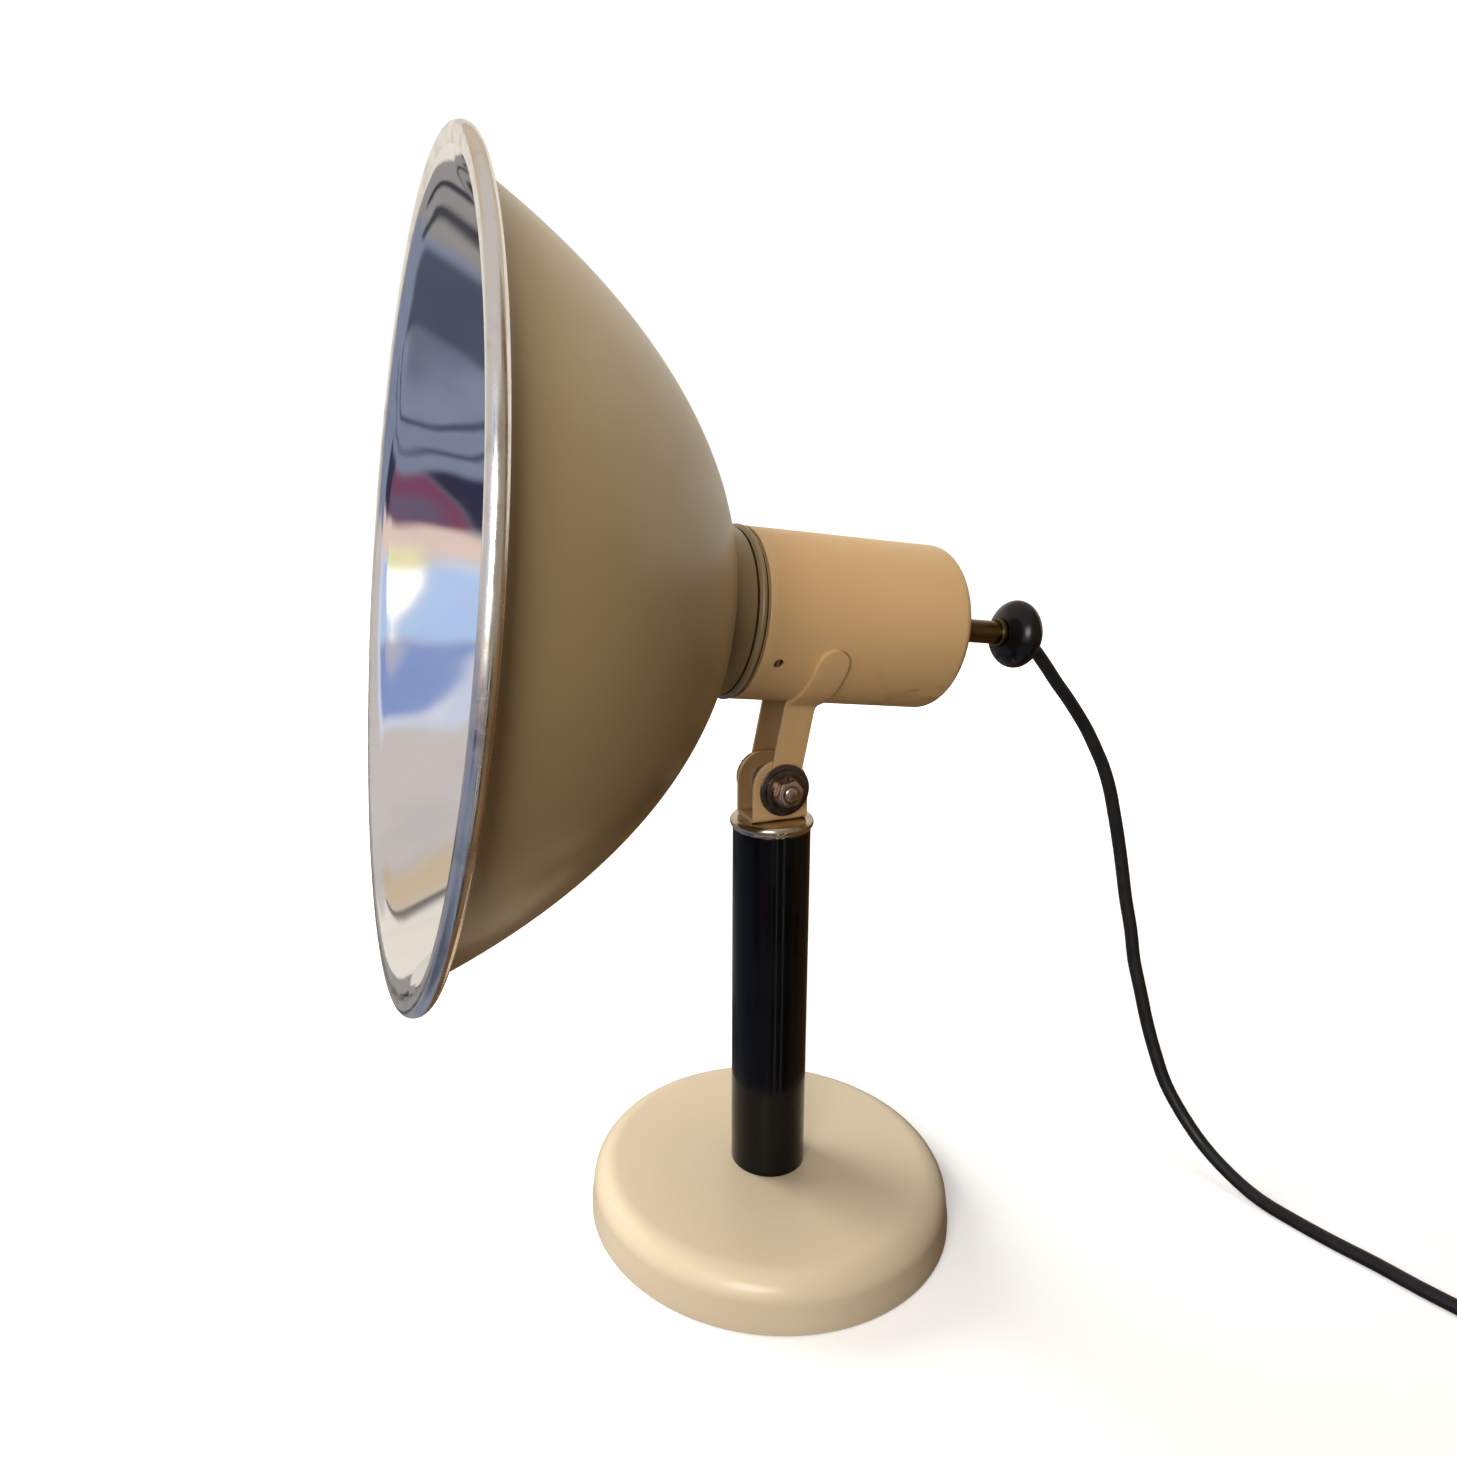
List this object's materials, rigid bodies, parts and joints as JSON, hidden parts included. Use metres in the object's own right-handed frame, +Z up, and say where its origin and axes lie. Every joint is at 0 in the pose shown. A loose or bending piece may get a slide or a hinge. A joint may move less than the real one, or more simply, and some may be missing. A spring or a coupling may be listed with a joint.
{
  "type": "table sun lamp",
  "caption": "Table sun lamp: polished bowl reflector on a tilting lamp housing with a push-pull focusing knob, black handle and weighted round base.",
  "frame": {"origin": "centre of the felt pad's resting face, on the axis of the handle", "axes": "+Z up along the handle; the lamp faces -X; +Y is the tilt axis"},
  "size_m": [0.5275, 0.3789, 0.4342],
  "materials": {
    "cream_enamel": "gloss enamel",
    "khaki_enamel": "gloss enamel",
    "polished_aluminium": "polished",
    "rivet_aluminium": "satin",
    "cast_iron": "cast",
    "zinc_steel": "zinc plated",
    "nickel": "polished",
    "bronzed_steel": "bronzed",
    "black_lacquer": "gloss",
    "felt": "felt",
    "fibre": "matt",
    "brass": "aged",
    "porcelain": "glazed",
    "bulb_glass": "frosted",
    "filament": "satin",
    "wire_insulation": "satin",
    "bakelite": "gloss",
    "cord_rubber": "satin"
  },
  "bodies": {
    "stand": {"base_cover": "cream_enamel", "base_weight": "cast_iron", "base_plate": "zinc_steel", "base_pad": "felt", "tie_rod": "zinc_steel", "base_washer": "zinc_steel", "base_nut": "zinc_steel", "handle_seat": "zinc_steel", "handle_tube": "black_lacquer", "top_ring": "nickel", "clevis": "cream_enamel", "clevis_nut": "zinc_steel", "pivot_bolt": "bronzed_steel", "pivot_washers": "bronzed_steel", "nut_washer": "bronzed_steel", "spring_washer": "bronzed_steel", "pivot_nut": "bronzed_steel", "friction_discs": "fibre", "pivot_bush": "zinc_steel", "cord": "cord_rubber", "cord_coil": "cord_rubber", "plug_body": "bakelite", "plug_pins": "nickel"},
    "head": {"yoke_arm_left": "cream_enamel", "yoke_arm_right": "cream_enamel", "lamp_housing": "cream_enamel", "guide_bush": "brass", "guide_nut": "brass", "reflector_collar": "khaki_enamel", "housing_screws": "bronzed_steel", "reflector": "polished_aluminium", "rim_wire": "zinc_steel", "collar_rivets": "rivet_aluminium"},
    "focus": {"focus_tube": "brass", "tube_nut": "brass", "holder_plate": "zinc_steel", "holder_screws": "zinc_steel", "lampholder": "porcelain", "screw_shell": "brass", "centre_contact": "brass", "terminals": "brass", "lead_wires": "wire_insulation", "bulb_cap": "brass", "bulb_glass": "bulb_glass", "bulb_filament": "filament", "knob_ferrule": "brass", "knob": "bakelite"}
  },
  "joints": [
    {"name": "head_tilt", "type": "hinge", "parent": "stand", "child": "head", "pos_m": [0, 0, 0.2], "axis": [0, 1, 0], "range_deg": [-55, 80], "deforming": ["cord"]},
    {"name": "focus_slide", "type": "slide", "parent": "head", "child": "focus", "axis": [-0.9914, 0, 0.1305], "range_m": [0, 0.024], "deforming": ["cord"]}
  ]
}
